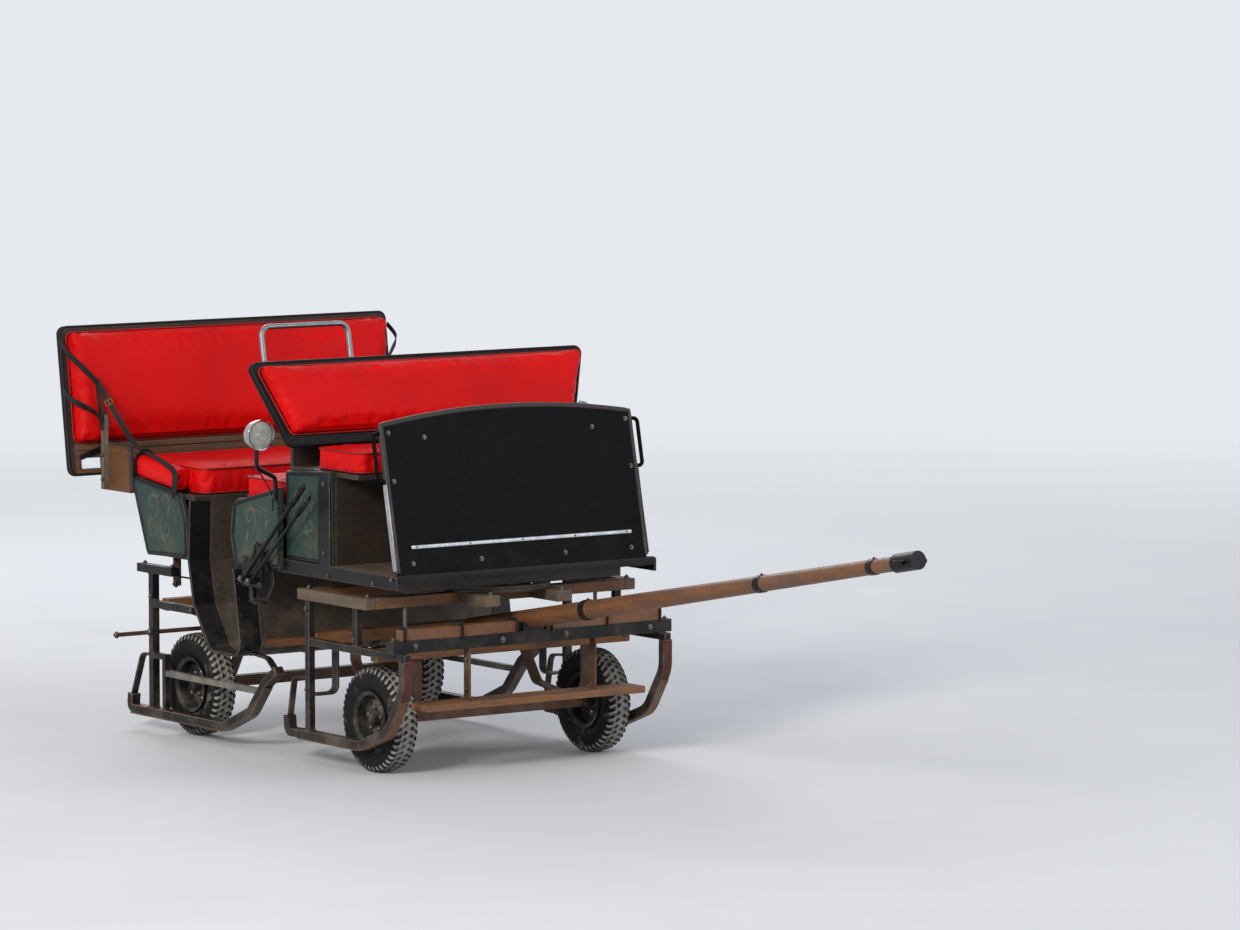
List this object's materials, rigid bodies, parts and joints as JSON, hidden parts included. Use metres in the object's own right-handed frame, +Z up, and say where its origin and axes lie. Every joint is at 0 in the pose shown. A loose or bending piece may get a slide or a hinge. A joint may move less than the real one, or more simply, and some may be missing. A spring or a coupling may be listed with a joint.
{
  "type": "horse drawn sleigh",
  "caption": "Passenger sleigh on runner bobs with small road wheels: steered fore-carriage with a pole and swingletrees, deep footwell, padded red seats and a black dash.",
  "frame": {"origin": "on the ground, under the middle of the overall length and width", "axes": "+X forward along the pole, +Y to the driver's left, +Z up"},
  "size_m": [4.7362, 1.6624, 1.7259],
  "materials": {
    "green_paint": "weathered satin paint",
    "black_paint": "chipped satin black",
    "gloss_black": "gloss black",
    "rusty_iron": "rusted dark paint",
    "brown_wood": "weathered oiled wood",
    "dark_wood": "dirty dark paint on wood",
    "red_leather": "satin leathercloth",
    "black_leather": "worn strap leather",
    "brown_leather": "worn leathercloth",
    "chrome": "polished",
    "lamp_glass": "clear",
    "steel": "dull galvanised",
    "tyre": "worn",
    "rim_paint": "dirty grey paint"
  },
  "bodies": {
    "body": {"back_hoop": "steel", "bench_cushion": "red_leather", "brake_lever": "black_paint", "dash_handles": "gloss_black", "dash_panel": "gloss_black", "dash_strip": "chrome", "door_bands": "black_paint", "driver_back_frame": "black_paint", "driver_back_pad": "red_leather", "driver_cushion": "red_leather", "footwell_shell": "dark_wood", "front_floor": "brown_wood", "front_panels_left": "green_paint", "front_panels_right": "green_paint", "lamp_brackets": "black_paint", "lamp_glasses": "lamp_glass", "lamp_shells": "chrome", "rear_arm_rolls": "red_leather", "rear_axle": "rusty_iron", "rear_back_frame": "dark_wood", "rear_back_pad": "red_leather", "rear_box": "dark_wood", "rear_cross_beams": "brown_wood", "rear_cushion": "red_leather", "rear_irons": "rusty_iron", "rear_quarter_left": "green_paint", "rear_quarter_right": "green_paint", "rear_runner_left": "black_paint", "rear_runner_right": "black_paint", "rear_side_frame_left": "black_paint", "rear_side_frame_right": "black_paint", "rear_spring": "rusty_iron", "rear_wings": "brown_leather", "seat_boxes": "dark_wood", "side_straps": "black_leather", "sills": "black_paint", "turntable_upper": "black_paint"},
    "fore_carriage": {"front_runner_right": "rusty_iron", "front_runner_left": "rusty_iron", "front_side_frame_right": "black_paint", "front_side_frame_left": "black_paint", "front_top_frame": "brown_wood", "front_cross_beams": "brown_wood", "front_axle": "rusty_iron", "front_irons": "rusty_iron", "step_plank": "brown_wood", "turntable_lower": "black_paint", "splinter_bar": "black_paint", "pole": "brown_wood", "pole_irons": "black_paint"},
    "wheel_front_right": {"tyre_front_right": "tyre", "rim_front_right": "rim_paint"},
    "wheel_front_left": {"tyre_front_left": "tyre", "rim_front_left": "rim_paint"},
    "wheel_rear_right": {"tyre_rear_right": "tyre", "rim_rear_right": "rim_paint"},
    "wheel_rear_left": {"tyre_rear_left": "tyre", "rim_rear_left": "rim_paint"},
    "swingletree_right": {"swingletree_right": "brown_wood"},
    "swingletree_left": {"swingletree_left": "brown_wood"}
  },
  "joints": [
    {"name": "steering", "type": "hinge", "parent": "body", "child": "fore_carriage", "pos_m": [-0.3979, 0, 0.71165], "axis": [0, 0, 1], "range_deg": [-40, 40]},
    {"name": "wheel_front_right_spin", "type": "hinge", "parent": "fore_carriage", "child": "wheel_front_right", "pos_m": [-0.3979, -0.51, 0.21], "axis": [0, 1, 0], "continuous": true},
    {"name": "wheel_front_left_spin", "type": "hinge", "parent": "fore_carriage", "child": "wheel_front_left", "pos_m": [-0.3979, 0.51, 0.21], "axis": [0, 1, 0], "continuous": true},
    {"name": "wheel_rear_right_spin", "type": "hinge", "parent": "body", "child": "wheel_rear_right", "pos_m": [-1.7279, -0.51, 0.21], "axis": [0, 1, 0], "continuous": true},
    {"name": "wheel_rear_left_spin", "type": "hinge", "parent": "body", "child": "wheel_rear_left", "pos_m": [-1.7279, 0.51, 0.21], "axis": [0, 1, 0], "continuous": true},
    {"name": "swingletree_right_swing", "type": "hinge", "parent": "fore_carriage", "child": "swingletree_right", "pos_m": [-0.0979, -0.345, 0.5763], "axis": [0, 0, 1], "range_deg": [-20, 20]},
    {"name": "swingletree_left_swing", "type": "hinge", "parent": "fore_carriage", "child": "swingletree_left", "pos_m": [-0.0979, 0.345, 0.5763], "axis": [0, 0, 1], "range_deg": [-20, 20]}
  ]
}
